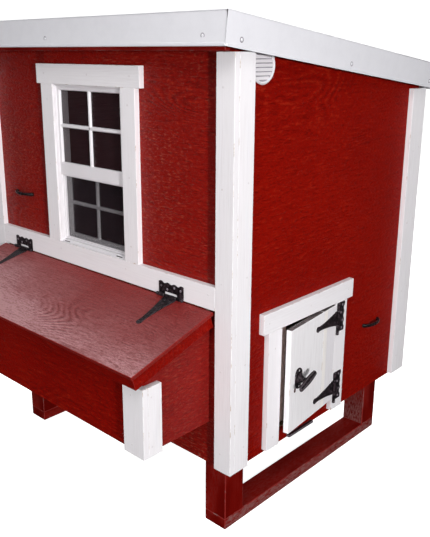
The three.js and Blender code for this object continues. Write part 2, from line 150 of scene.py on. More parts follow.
RUST = (0.16, 0.035, 0.02, 1)
GLASS = (0.034, 0.0105, 0.014, 1)
GLASS_DUST = (0.06, 0.04, 0.045, 1)
MESH = (0.016, 0.009, 0.014, 1)
DOOR_WHITE = (0.91, 0.885, 0.905, 1)
DOOR_CREAM = (0.94, 0.895, 0.86, 1)
DOOR_SHADE = (0.82, 0.79, 0.83, 1)
EDGE_RED = (0.30, 0.06, 0.045, 1)
HANDLE_RUB = (0.012, 0.009, 0.010, 1)
FLOOR_WHITES = ((0.9, 0.9, 0.9, 1), (0.92, 0.92, 0.92, 1))
SHADOW_STRIP = 46
THREAD_PITCH = 0.0016


class Recipe:
    """A Principled material with its texture nodes, all placed by the object's own coordinates."""

    def __init__(self, name, **settings):
        self.material = bpy.data.materials.new(name)
        self.material.use_nodes = True
        self.nodes = self.material.node_tree.nodes
        self.links = self.material.node_tree.links
        self.shader = self.nodes["Principled BSDF"]
        self.place = self.nodes.new("ShaderNodeTexCoord").outputs["Object"]
        for socket, value in settings.items():
            self.shader.inputs[socket.replace("_", " ")].default_value = value

    def noise(self, scale, stretch=(1, 1, 1), detail=3.0, roughness=0.5, distortion=0.0):
        mapping = self.nodes.new("ShaderNodeMapping")
        mapping.inputs["Scale"].default_value = stretch
        self.links.new(self.place, mapping.inputs["Vector"])
        node = self.nodes.new("ShaderNodeTexNoise")
        node.inputs["Scale"].default_value = scale
        node.inputs["Detail"].default_value = detail
        node.inputs["Roughness"].default_value = roughness
        node.inputs["Distortion"].default_value = distortion
        self.links.new(mapping.outputs["Vector"], node.inputs["Vector"])
        return node.outputs["Fac"]

    def feed(self, value, socket):
        if isinstance(value, (int, float, tuple)):
            socket.default_value = value
        else:
            self.links.new(value, socket)

    def math(self, operation, first, second=0.0):
        node = self.nodes.new("ShaderNodeMath")
        node.operation = operation
        self.feed(first, node.inputs[0])
        self.feed(second, node.inputs[1])
        return node.outputs[0]

    def span(self, value, low, high, start=0.0, end=1.0):
        node = self.nodes.new("ShaderNodeMapRange")
        self.feed(value, node.inputs["Value"])
        node.inputs["From Min"].default_value = low
        node.inputs["From Max"].default_value = high
        node.inputs["To Min"].default_value = start
        node.inputs["To Max"].default_value = end
        return node.outputs["Result"]

    def mix(self, factor, first, second):
        node = self.nodes.new("ShaderNodeMix")
        node.data_type = "RGBA"
        self.feed(factor, node.inputs[0])
        self.feed(first, node.inputs[6])
        self.feed(second, node.inputs[7])
        return node.outputs[2]

    def axis(self, name):
        node = self.nodes.new("ShaderNodeSeparateXYZ")
        self.links.new(self.place, node.inputs[0])
        return node.outputs[name]

    def bump(self, height, distance, strength):
        node = self.nodes.new("ShaderNodeBump")
        node.inputs["Strength"].default_value = strength
        node.inputs["Distance"].default_value = distance
        self.links.new(height, node.inputs["Height"])
        before = self.shader.inputs["Normal"]
        if before.is_linked:
            self.links.new(before.links[0].from_socket, node.inputs["Normal"])
        self.links.new(node.outputs["Normal"], before)

    def colour(self, value):
        self.feed(value, self.shader.inputs["Base Color"])

    def roughness(self, value):
        self.feed(value, self.shader.inputs["Roughness"])


def stretch_along(grain, long, short):
    """A texture stretch with long features along the axes named in grain."""
    return tuple(long if axis in grain else short for axis in "xyz")


def wood_rings(recipe, grain, count):
    """The flowing lines of sawn wood: level curves of a smooth, stretched noise."""
    field = recipe.noise(1.0, stretch_along(grain, 1.1, 4.6), detail=1.0, distortion=0.15)
    return recipe.math("SINE", recipe.math("MULTIPLY", field, count))


def inside_box(recipe, x_half, y_low, y_high):
    """1 where the point lies inside the walls' outer faces, and 0 on those faces."""
    x = recipe.math("ABSOLUTE", recipe.math("SUBTRACT", recipe.axis("X"), MIDDLE_X))
    y = recipe.math("SUBTRACT", recipe.axis("Y"), TRIM_FACE + (y_low + y_high) / 2 * MM)
    near = recipe.math("LESS_THAN", x, x_half * MM)
    return recipe.math(
        "MULTIPLY", near, recipe.math("LESS_THAN", recipe.math("ABSOLUTE", y), (y_high - y_low) / 2 * MM)
    )


def bare_colour(recipe, grain):
    rings = wood_rings(recipe, grain, 60)
    fibre = recipe.noise(1.0, stretch_along(grain, 14, 260), detail=4)
    tone = recipe.math("ADD", recipe.span(rings, -1, 1, 0, 0.4), recipe.span(fibre, 0.3, 0.7, 0, 0.6))
    return recipe.mix(tone, WOOD, WOOD_DARK)


def red_panel(
    name, grain, inner, gloss, roughness, fade_sheen=False, chalk=0.0, fine=1.0, glint=0.0, shaded=False
):
    """Embossed siding in red paint, bare wood where it faces the inside of a box."""
    recipe = Recipe(name, IOR=1.5, Specular_IOR_Level=gloss)
    broad = recipe.noise(1.6, detail=2)
    speckle = recipe.noise(fine, stretch_along(grain, 62, 165), detail=2, roughness=0.6, distortion=0.4)
    fibre = recipe.noise(fine, stretch_along(grain, 14, 120), detail=2, roughness=0.6)
    patch = recipe.span(recipe.noise(2.6, stretch_along(grain, 1, 1.6), detail=1), 0.5, 0.66)
    rings = recipe.math("MULTIPLY", wood_rings(recipe, grain, 330), patch)
    swirls = recipe.span(rings, -1, 1, -0.5, 0.5)
    grooves = recipe.math("ADD", swirls, recipe.span(fibre, 0.3, 0.7, -0.5, 0.5))
    relief = recipe.math("ADD", grooves, recipe.span(speckle, 0.25, 0.75, -0.8, 0.8))
    painted = recipe.mix(recipe.span(broad, 0.3, 0.7), RED, DEEP_RED)
    # Darker in the grooves and paler on the crests: painted shade and painted highlight on the embossing.
    painted = recipe.mix(recipe.span(relief, -0.1, -0.9, 0, 0.45), painted, GROOVE_SHADE_RED)
    painted = recipe.mix(recipe.span(relief, 0.25, 0.9, 0, 0.4), painted, CREST_HIGHLIGHT_RED)
    # Painted glints: short pale strokes in the colour stand for highlights on the embossing.
    if glint:
        strokes = recipe.noise(1.0, stretch_along(grain, 60, 200), detail=1)
        cluster = recipe.span(recipe.noise(3.4, detail=2), 0.42, 0.6, 0.15, 1)
        bright = recipe.math("MULTIPLY", recipe.span(strokes, 0.56, 0.68, 0, glint), cluster)
        painted = recipe.mix(bright, painted, GLINT)
    if shaded:
        painted = recipe.mix(beside_boards(recipe), painted, GROOVE_SHADE_RED)
    if chalk:
        painted = recipe.mix(chalk, painted, PALE_CHALK_SHEEN)
    # Faded paint and a painted sheen on the lid's top.
    if fade_sheen:
        painted = recipe.mix(lid_fade_and_sheen(recipe, relief), painted, PALE_CHALK_SHEEN)
    if inner:
        painted = recipe.mix(inside_box(recipe, *inner), painted, bare_colour(recipe, grain))
    recipe.colour(painted)
    recipe.roughness(recipe.span(speckle, 0.3, 0.7, roughness - 0.06, roughness + 0.1))
    recipe.bump(relief, 0.0015, 0.9)
    return recipe.material


def beside_boards(recipe):
    """Strips left of the corner board and the window board, darkened to deepen the boards' shadows."""
    strips = []
    for edge in (HALF_WIDTH - CASING, WINDOW_X - WINDOW_HALF - CASING):
        left = MIDDLE_X + (edge - SHADOW_STRIP) * MM
        inside = recipe.span(recipe.axis("X"), left - 2 * MM, left + 2 * MM, 0, 0.4)
        ended = recipe.span(recipe.axis("X"), MIDDLE_X + edge * MM, MIDDLE_X + (edge + 2) * MM, 1, 0)
        strips.append(recipe.math("MULTIPLY", inside, ended))
    return recipe.math("ADD", *strips)


def lid_fade_and_sheen(recipe, relief):
    """How pale the lid's top is painted: faded paint with a painted sheen, most at its outer left and on the
    grain's crests, least by the right hinge, and only on faces turned up.
    """
    across = recipe.span(recipe.axis("X"), MIDDLE_X + 90 * MM, MIDDLE_X - 300 * MM, 1.0, 3.6)
    middle = recipe.span(recipe.axis("Y"), TRIM_FACE - 30 * MM, TRIM_FACE - 190 * MM, 0.05, 0.24)
    front = recipe.span(recipe.axis("Y"), TRIM_FACE - 190 * MM, TRIM_FACE - 275 * MM, 0, 0.36)
    cloud = recipe.span(recipe.noise(4, detail=3), 0.3, 0.7, 0.75, 1.2)
    facing = recipe.nodes.new("ShaderNodeSeparateXYZ")
    texture = recipe.nodes.new("ShaderNodeTexCoord")
    recipe.links.new(texture.outputs["Normal"], facing.inputs[0])
    top = recipe.span(facing.outputs["Z"], 0.75, 0.92)
    spread = recipe.math("MULTIPLY", across, recipe.math("ADD", middle, front))
    amount = recipe.math("MULTIPLY", spread, recipe.math("MULTIPLY", cloud, top))
    return recipe.math("MULTIPLY", amount, recipe.span(relief, -0.7, 0.7, 0.45, 1.5))


def white_board(name, grain, streaks=0.5):
    """White brushed paint over a planed board."""
    recipe = Recipe(name, IOR=1.5, Specular_IOR_Level=0.35)
    brush = recipe.noise(1.0, stretch_along(grain, 9, 210), detail=4, roughness=0.6)
    cloud = recipe.noise(7, stretch_along(grain, 0.5, 1.4), detail=2)
    tone = recipe.math("MULTIPLY", recipe.span(brush, 0.42, 0.72), recipe.span(cloud, 0.35, 0.65, 0.2, 1))
    recipe.colour(recipe.mix(recipe.math("MULTIPLY", tone, streaks), WHITE, WHITE_STREAK))
    recipe.roughness(recipe.span(brush, 0.3, 0.7, 0.42, 0.6))
    recipe.bump(brush, 0.0006, 0.6)
    recipe.bump(recipe.noise(240, detail=2), 0.0003, 0.5)
    return recipe.material


def door_paint(name):
    """White board paint with a warm pale band beside the joint and a cooler plank beyond it."""
    recipe = Recipe(name, IOR=1.5, Specular_IOR_Level=0.35)
    brush = recipe.noise(1.0, stretch_along("z", 9, 150), detail=4, roughness=0.6)
    joint = (DOOR @ Vector((0, PLANK_JOINT, 0))).y
    band_end = (DOOR @ Vector((0, PLANK_JOINT + 24, 0))).y
    past = recipe.span(recipe.axis("Y"), joint, joint + 2 * MM)
    beyond = recipe.span(recipe.axis("Y"), band_end - 3 * MM, band_end + 3 * MM)
    paint = recipe.mix(recipe.math("MULTIPLY", past, 0.9), DOOR_WHITE, DOOR_CREAM)
    paint = recipe.mix(recipe.math("MULTIPLY", beyond, 0.9), paint, DOOR_SHADE)
    recipe.colour(recipe.mix(recipe.span(brush, 0.45, 0.75, 0, 0.5), paint, WHITE_STREAK))
    recipe.roughness(recipe.span(brush, 0.3, 0.7, 0.42, 0.6))
    recipe.bump(brush, 0.0009, 0.7)
    recipe.bump(recipe.noise(70, detail=3), 0.0008, 0.6)
    return recipe.material


def worn_edge(name, paint, under, amount):
    """Paint rubbed thin along a board's edge."""
    recipe = Recipe(name, IOR=1.5)
    patch = recipe.noise(24, detail=5, roughness=0.7)
    recipe.colour(recipe.mix(recipe.span(patch, amount - 0.06, amount + 0.06, 1, 0), paint, under))
    recipe.roughness(recipe.span(patch, 0.3, 0.7, 0.45, 0.75))
    recipe.bump(patch, 0.0006, 0.5)
    return recipe.material


def skid_paint(name, grain, rub=0.0):
    """Dark red paint on rough timber, scuffed pale outside and on the rear leg's front face."""
    recipe = Recipe(name, IOR=1.5, Specular_IOR_Level=0.03)
    brush = recipe.noise(1.0, stretch_along(grain, 7, 120), detail=4, roughness=0.65)
    fleck = recipe.noise(1.0, stretch_along(grain, 60, 190), detail=3, roughness=0.7)
    cloud = recipe.noise(5, stretch_along(grain, 0.7, 2.2), detail=2)
    base = recipe.mix(recipe.span(cloud, 0.35, 0.65), SKID_RED, SKID_DARK)
    out = recipe.math("ABSOLUTE", recipe.math("SUBTRACT", recipe.axis("X"), MIDDLE_X))
    outer_face = recipe.span(out, SKID_OUT - 2 * MM, SKID_OUT - 0.5 * MM, 0, rub)
    reached = recipe.span(recipe.axis("Y"), REAR_LEG - 0.6 * MM, REAR_LEG, 0, 1)
    passed = recipe.span(recipe.axis("Y"), REAR_LEG + MM, REAR_LEG + 3 * MM, 1, 0)
    leg_face = recipe.math("MULTIPLY", reached, passed)
    splashed = recipe.span(recipe.axis("Z"), 210 * MM, 70 * MM, 0.05, 0.8)
    back_leg = recipe.math("MULTIPLY", leg_face, splashed)
    patchy = recipe.span(cloud, 0.4, 0.58, 0.14, 0)
    worn = recipe.math("ADD", patchy, recipe.math("MAXIMUM", outer_face, back_leg))
    scuff = recipe.math("MULTIPLY", recipe.span(fleck, 0.38, 0.6), worn)
    recipe.colour(recipe.mix(scuff, base, SKID_SCUFF))
    recipe.roughness(recipe.span(brush, 0.3, 0.7, 0.35, 0.6))
    recipe.bump(brush, 0.0009, 0.7)
    recipe.bump(fleck, 0.0009, 0.7)
    return recipe.material


def bare_wood(name, grain):
    recipe = Recipe(name, IOR=1.45)
    recipe.colour(bare_colour(recipe, grain))
    recipe.roughness(recipe.span(recipe.noise(30), 0.3, 0.7, 0.65, 0.85))
    recipe.bump(recipe.noise(1.0, stretch_along(grain, 14, 260), detail=3), 0.0005, 0.6)
    return recipe.material


def vinyl(name):
    recipe = Recipe(name, IOR=1.5, Roughness=0.34)
    cloud = recipe.noise(9, detail=3)
    recipe.colour(recipe.mix(recipe.span(cloud, 0.35, 0.7, 0, 0.35), VINYL, WHITE_STREAK))
    recipe.roughness(recipe.span(cloud, 0.3, 0.7, 0.28, 0.42))
    recipe.bump(recipe.noise(60, detail=2), 0.0002, 0.4)
    return recipe.material


def roof_metal(name):
    """White coated sheet metal, very slightly rippled."""
    recipe = Recipe(name, IOR=1.5, Coat_Weight=0.25, Coat_Roughness=0.2)
    ripple = recipe.noise(3.2, stretch_along("xy", 1, 2.4), detail=1)
    dust = recipe.noise(26, detail=4, roughness=0.65)
    recipe.colour(recipe.mix(recipe.span(dust, 0.4, 0.8, 0, 0.6), METAL, METAL_SHADE))
    recipe.roughness(recipe.span(dust, 0.3, 0.7, 0.3, 0.45))
    recipe.bump(ripple, 0.006, 0.5)
    recipe.bump(recipe.noise(420, detail=1), 0.00012, 0.5)
    return recipe.material


def black_iron(name, roughness=0.36, gloss=0.16, rubbed=BLACK_RUB):
    """Black powder coat on stamped steel."""
    recipe = Recipe(name, IOR=1.45, Specular_IOR_Level=gloss)
    pits = recipe.noise(190, detail=3, roughness=0.65)
    rub = recipe.noise(120, detail=2, roughness=0.65)
    recipe.colour(recipe.mix(recipe.span(rub, 0.48, 0.6), BLACK, rubbed))
    recipe.roughness(recipe.span(rub, 0.3, 0.7, roughness - 0.08, roughness + 0.12))
    recipe.bump(pits, 0.0016, 0.9)
    return recipe.material


def window_glass(name):
    recipe = Recipe(name, IOR=1.5, Alpha=0.42)
    dust = recipe.noise(14, detail=4, roughness=0.6)
    recipe.colour(recipe.mix(recipe.span(dust, 0.45, 0.8, 0, 0.3), GLASS, GLASS_DUST))
    recipe.roughness(recipe.span(dust, 0.3, 0.7, 0.02, 0.07))
    return recipe.material


def insect_screen(name):
    """A fine woven mesh: threads along x and z, with the gaps between them see-through."""
    recipe = Recipe(name, IOR=1.4, Roughness=0.6)
    threads = []
    for axis in "XZ":
        phase = recipe.math("MULTIPLY", recipe.axis(axis), 2 * math.pi / THREAD_PITCH)
        threads.append(recipe.span(recipe.math("SINE", phase), 0.0, 0.7, 0, 1))
    weave = recipe.math("MAXIMUM", threads[0], threads[1])
    recipe.colour(recipe.mix(weave, BLACK, MESH))
    recipe.feed(recipe.span(weave, 0, 1, 0.12, 0.48), recipe.shader.inputs["Alpha"])
    return recipe.material


CABIN = (HALF_WIDTH - BOARD - 0.3, BOARD + 0.3, DEPTH - BOARD - 0.3)
NEST = (NEST_HALF - 0.3, NEST_FRONT + 0.3, 1000)
RED_WALL = red_panel("red_wall", "xy", CABIN, gloss=0.05, roughness=0.5)
RED_FRONT = red_panel("red_front", "xy", CABIN, gloss=0.2, roughness=0.42, glint=0.24, shaded=True)
RED_NEST = red_panel("red_nest", "xy", NEST, gloss=0.05, roughness=0.5)
RED_NEST_END = red_panel("red_nest_end", "xy", NEST, gloss=0.1, roughness=0.46, chalk=0.022, glint=0.12)
RED_LID = red_panel("red_lid", "x", None, gloss=0.3, roughness=0.45, fade_sheen=True, fine=1.6)
RED_LIP = red_panel("red_lip", "x", None, gloss=0.05, roughness=0.5)
RED_EDGE = worn_edge("red_edge", RED, EDGE_RED, 0.36)
WHITE_X = white_board("white_board_x", "x")
WHITE_Y = white_board("white_board_y", "y")
WHITE_Z = white_board("white_board_z", "z", 0.8)
WHITE_EDGE = worn_edge("white_edge", WHITE, TAN, 0.40)
SKID_Y = skid_paint("skid_paint_y", "y", rub=0.9)
SKID_Z = skid_paint("skid_paint_z", "z")
SKID_X = skid_paint("eave_paint_x", "x")
SKID_EDGE = worn_edge("skid_edge", SKID_RED, SKID_SCUFF, 0.42)
WOOD_X = bare_wood("bare_wood_x", "x")
STOP_WOOD = worn_edge("stop_wood", (0.72, 0.56, 0.51, 1), (0.55, 0.40, 0.36, 1), 0.5)
END_WOOD = worn_edge("end_wood", (0.06, 0.043, 0.044, 1), (0.11, 0.08, 0.08, 1), 0.5)
VINYL_WHITE = vinyl("window_vinyl")
ROOF_METAL = roof_metal("roof_metal")
IRON = black_iron("black_iron")
IRON_EDGE = worn_edge("iron_edge", IRON_WORN, BLACK_RUB, 0.5)
HANDLE_IRON = black_iron("handle_iron", 0.24, 0.3, HANDLE_RUB)
SCREW_METAL = worn_edge("screw_metal", (0.20, 0.17, 0.20, 1), IRON_WORN, 0.5)
WASHER_GREY = worn_edge("washer_grey", (0.36, 0.33, 0.37, 1), (0.28, 0.26, 0.29, 1), 0.5)
PAINTED_SHADE_DARK = worn_edge("painted_shade_dark", (0.03, 0.022, 0.024, 1), (0.06, 0.045, 0.05, 1), 0.5)
DARK_GLASS = window_glass("window_glass")
SCREEN = insect_screen("insect_screen")

# ---------- mesh tools ----------

ALONG_X = lambda a, b, c: (c, a, b)
ALONG_Y = lambda a, b, c: (a, c, b)
ALONG_Z = lambda a, b, c: (a, b, c)


def skin(shape, rings):
    """Faces between each ring of vertices and the next."""
    for one, two in zip(rings, rings[1:]):
        for i, vert in enumerate(one):
            j = (i + 1) % len(one)
            shape.faces.new((vert, one[j], two[j], two[i]))


def prism(shape, outline, low, high, place):
    """A flat outline of (a, b) points swept from low to high."""
    ends = [[shape.verts.new(place(a, b, c)) for a, b in outline] for c in (low, high)]
    shape.faces.new(list(reversed(ends[0])))
    shape.faces.new(ends[1])
    skin(shape, ends)


def block(shape, x, y, z):
    prism(shape, [(x[0], y[0]), (x[1], y[0]), (x[1], y[1]), (x[0], y[1])], z[0], z[1], ALONG_Z)


def loft(shape, rings):
    """A closed skin through rings of points, with a flat cap at each end."""
    made = [[shape.verts.new(point) for point in ring] for ring in rings]
    skin(shape, made)
    shape.faces.new(list(reversed(made[0])))
    shape.faces.new(made[-1])


def circle(radius, segments):
    turns = [2 * math.pi * i / segments for i in range(segments)]
    return [(radius * math.cos(t), radius * math.sin(t)) for t in turns]


def lathe(shape, profile, place, segments):
    """A profile of (radius, height) points turned about the height axis."""
    loft(shape, [[place(a, b, h) for a, b in circle(r, segments)] for r, h in profile])


def mitred_ring(shape, x, z, profile):
    """A picture frame. The profile's points are (inset from the outer edge, y)."""
    corners = [(0, 0), (1, 0), (1, 1), (0, 1)]
    rings = []
    for i, j in corners:
        rings.append([
            shape.verts.new((x[i] + w * (1 - 2 * i), y, z[j] + w * (1 - 2 * j))) for w, y in profile
        ])
    skin(shape, rings + rings[:1])


def arc(centre, radius, start, end, steps):
    turns = [math.radians(start + (end - start) * i / steps) for i in range(steps + 1)]
    return [(centre[0] + radius * math.cos(t), centre[1] + radius * math.sin(t)) for t in turns]


def bevel(obj, width, edge_material):
    modifier = obj.modifiers.new("eased_edges", "BEVEL")
    modifier.width = width * MM
    modifier.segments = 2
    modifier.limit_method = "ANGLE"
    modifier.angle_limit = math.radians(35)
    modifier.harden_normals = True
    modifier.material = edge_material if edge_material else -1


def piece(name, shape, place, body, materials, replaces=(), ease=0.0, smooth=True):
    """Turns a shape, moved and scaled by place, into a piece that rides on a body."""
    bmesh.ops.recalc_face_normals(shape, faces=shape.faces)
    mesh = bpy.data.meshes.new(name)
    shape.to_mesh(mesh)
    shape.free()
    mesh.transform(place)
    obj = bpy.data.objects.new(name, mesh)
    bpy.context.scene.collection.objects.link(obj)
    for material in materials:
        mesh.materials.append(material)
    if smooth:
        mesh.shade_smooth()
        mesh.set_sharp_from_angle(angle=math.radians(38))
    if ease:
        bevel(obj, ease, len(materials) - 1)
    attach(obj, body)
    if replaces:
        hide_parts(*replaces)
    return obj


def dress(node, *materials, ease=0.0):
    """Gives a CAD node its materials and eased edges. The second material is for the edges."""
    obj = frame["nodes"][node]
    obj.data.materials.clear()
    for material in materials:
        obj.data.materials.append(material)
    if ease:
        weld = obj.modifiers.new("weld", "WELD")
        weld.merge_threshold = 0.02 * MM
        flat = obj.modifiers.new("flat_faces", "DECIMATE")
        flat.decimate_type = "DISSOLVE"
        flat.angle_limit = math.radians(0.5)
        bevel(obj, ease, len(materials) - 1)


def vinyl_part(name, shape, body, replaces=(), ease=0.5):
    piece(name, shape, COOP, body, (VINYL_WHITE,), replaces, ease=ease)


def iron_part(name, shape, place, body, node, ease):
    piece(name, shape, place, body, (IRON, IRON_EDGE), (node,), ease=ease)


def sheet_metal(name, shape, replaces=(), ease=0.5):
    piece(name, shape, COOP, "coop", (ROOF_METAL,), replaces, ease=ease)


# ---------- walls, base and floor ----------

dress("front_wall", RED_FRONT)
for side in ("rear", "right", "left"):
    dress(f"{side}_wall", RED_WALL)
dress("nest_front", RED_NEST)
dress("nest_lid", RED_LID, RED_EDGE, ease=1.6)
dress("nest_lid_lip", RED_LIP, RED_EDGE, ease=1.2)
for side in ("right", "left"):
    dress(f"nest_side_{side}", RED_NEST_END)
    dress(f"skid_{side}", SKID_Y, SKID_EDGE, ease=2.6)
    for end in ("front", "rear"):
        dress(f"leg_{end}_{side}", SKID_Z, SKID_EDGE, ease=2.4)
    dress(f"nest_divider_{side}", WOOD_X, ease=0.8)
dress("eave_board", SKID_X, SKID_EDGE, ease=1.0)
for name in ("floor_platform", "roost_bar", "roof_deck", "nest_floor"):
    dress(name, WOOD_X, ease=1.0)
dress("door_stop_strip", STOP_WOOD, ease=0.8)

# ---------- white boards ----------

BOARD_EASE = 1.3
for paint, nodes in (
    (WHITE_X, ("belly_band", "window_head_trim")),
    (WHITE_Y, ("door_head_trim",)),
    (WHITE_Z, ("window_trim_left", "window_trim_right", "door_trim_front", "door_trim_rear")),
):
    for node in nodes:
        dress(node, paint, WHITE_EDGE, ease=BOARD_EASE)


def corner_boards(node, face, side, heights):
    """Two boards that meet at a corner, one across the front or rear and one along the side."""
    shape = bmesh.new()
    block(shape, *face, heights)
    block(shape, *side, heights)
    paint = (WHITE_Z, WHITE_EDGE)
    piece(f"{node}_boards", shape, COOP, "coop", paint, (node,), ease=BOARD_EASE)


def ordered(sign, low, high):
    """A span on the right side, or its mirror image on the left."""
    return (low, high) if sign > 0 else (-high, -low)


GAP = 0.5
for side, sign in (("right", 1), ("left", -1)):
    x = HALF_WIDTH
    corner_boards(
        f"corner_trim_front_{side}",
        (ordered(sign, x - CASING, x), (0, BOARD)),
        (ordered(sign, x - BOARD, x), (BOARD + GAP, BOARD + CASING - 1)),
        (TRIM_BOTTOM, FRONT_TRIM_TOP),
    )
    corner_boards(
        f"corner_trim_rear_{side}",
        (ordered(sign, x - BOARD - CASING, x - BOARD - GAP), (DEPTH - BOARD, DEPTH)),
        (ordered(sign, x - BOARD, x), (DEPTH - REAR_CASING, DEPTH)),
        (TRIM_BOTTOM, REAR_TRIM_TOP),
    )
    x = NEST_HALF + BOARD
    y = NEST_FRONT - BOARD
    corner_boards(
        f"nest_trim_{side}",
        (ordered(sign, x - BOARD - CASING, x), (y, y + BOARD)),
        (ordered(sign, x - BOARD, x), (y + BOARD + GAP, y + BOARD + CASING - 14)),
        (NEST_BOTTOM, NEST_TRIM_TOP),
    )


def nail_heads():
    """Flat nail heads, painted over, along the white boards."""
    shape = bmesh.new()
    profile = [(3.0, -0.4), (3.0, 0.15), (2.5, 0.45), (0.6, 0.5)]
    front = lambda x, y, z: lathe(shape, profile, lambda a, b, h: (x + a, y - h, z + b), 12)
    sides = lambda x, y, z, sign: lathe(shape, profile, lambda a, b, h: (x + sign * h, y + a, z + b), 12)
    for step in range(5):
        z = TRIM_BOTTOM + 60 + step * 265
        for sign in (1, -1):
            front(sign * (HALF_WIDTH - 40), 0, z)
            sides(sign * HALF_WIDTH, BOARD + 42, z + 14, sign)
            if z < REAR_TRIM_TOP - 40:
                sides(sign * HALF_WIDTH, DEPTH - 62, z + 8, sign)
                sides(sign * HALF_WIDTH, DEPTH - 22, z + 20, sign)
    for x in (-520, -180, 165, 520):
        front(x, 0, sum(BAND) / 2 + 9)
    for x in (-225, 5, 205):
        front(x, 0, WINDOW_TOP + 34)
    for z in (880, 1095, 1310):
        for sign in (1, -1):
            front(WINDOW_X + sign * (WINDOW_HALF + CASING / 2), 0, z)
    for z in (425, 575):
        for sign in (1, -1):
            front(sign * (NEST_HALF - 30), NEST_FRONT - BOARD, z)
            sides(sign * (NEST_HALF + BOARD), NEST_FRONT + 12, z, sign)
    for y, z in ((170, 690), (382, 690), (600, 690), (203, 300), (203, 600), (562, 300)):
        sides(HALF_WIDTH, y, z, 1)
    paint = worn_edge("nail_paint", WHITE_STREAK, TAN, 0.36)
    piece("nail_heads", shape, COOP, "coop", (paint,))


nail_heads()

# ---------- window ----------

WIN_X = (WINDOW_X - WINDOW_HALF, WINDOW_X + WINDOW_HALF)
WIN_CLEAR = (WINDOW_X - WINDOW_CLEAR, WINDOW_X + WINDOW_CLEAR)


def window_frame():
    shape = bmesh.new()
    mitred_ring(shape, WIN_X, (WINDOW_BOTTOM, WINDOW_TOP), [
        (0, 6), (3.2, 6), (3.2, 8.5), (5.4, 9.5), (5.4, 12), (7.5, 13), (7.5, 56), (0, 56),
    ])
    mitred_ring(shape, WIN_CLEAR, (RAIL[1] - 9, LINTEL), [
        (-0.5, 12.5), (9, 12.5), (10, 15), (11, 17), (12, 19), (12, 22), (-0.5, 22),
    ])
    mitred_ring(shape, WIN_CLEAR, (SILL, RAIL[0]), [(-0.5, 19), (4, 19), (5, 21), (5, 26), (-0.5, 26)])
    prism(shape, [
        (12, RAIL[0]), (12, RAIL[1] + 3), (13.5, RAIL[1] + 5), (22, RAIL[1] + 5), (22, RAIL[1]),
        (28, RAIL[1] - 1), (28, RAIL[0]),
    ], WIN_CLEAR[0] - 1, WIN_CLEAR[1] + 1, ALONG_X)
    middle = (RAIL[1] + LINTEL) / 2
    bar = [(-6, 0), (-3.4, -4.5), (3.4, -4.5), (6, 0), (6, 3), (-6, 3)]
    prism(shape, [(WINDOW_X + a, 19 + b) for a, b in bar], RAIL[1] - 1, LINTEL + 1, ALONG_Z)
    prism(shape, [(19 + b, middle + a * 1.1) for a, b in bar], *WIN_CLEAR, ALONG_X)
    vinyl_part("window_frame_vinyl", shape, "coop", ("window_frame",), ease=0.7)
    slots = bmesh.new()
    for sign in (1, -1):
        x = WINDOW_X + sign * 138
        block(slots, (x - 14, x + 14), (5.7, 6.4), (831, 833.6))
    piece("window_weep_slots", slots, COOP, "coop", (IRON,))


def window_sash():
    shape = bmesh.new()
    pane = (WIN_CLEAR[0] + 0.5, WIN_CLEAR[1] - 0.5)
    height = (SILL + 0.5, 1092)
    mitred_ring(shape, pane, height, [(0, 32), (13, 32), (15, 34), (19, 35), (20, 37), (20, 46), (0, 46)])
    centre = (height[0] + RAIL[0]) / 2 + 16
    bar = [(-6, 6), (-6, 1.5), (-3.4, -3), (3.4, -3), (6, 1.5), (6, 6)]
    prism(shape, [(WINDOW_X + a, 35 + b * 0.8) for a, b in bar], height[0] + 19, height[1] - 19, ALONG_Z)
    prism(shape, [(35 + b * 0.8, centre + a) for a, b in bar], pane[0] + 19, pane[1] - 19, ALONG_X)
    vinyl_part("window_sash_vinyl", shape, "window_sash", ("window_sash",), ease=0.6)


def window_screen():
    rim = bmesh.new()
    mitred_ring(rim, WIN_CLEAR, (SILL, RAIL[0]), [(0.5, 27.5), (7, 27.5), (7, 30.5), (0.5, 30.5)])
    vinyl_part("insect_screen_rim", rim, "coop")
    cloth = bmesh.new()
    block(cloth, (WIN_CLEAR[0] + 6, WIN_CLEAR[1] - 6), (28.8, 29.1), (SILL + 6, RAIL[0] - 6))
    piece("insect_screen_mesh", cloth, COOP, "coop", (SCREEN,), smooth=False)


window_frame()
window_sash()
window_screen()
dress("window_glass_upper", DARK_GLASS)
dress("window_glass_lower", DARK_GLASS)

# ---------- roof ----------

HEM = 9
CORNER_STRIP = 3.2


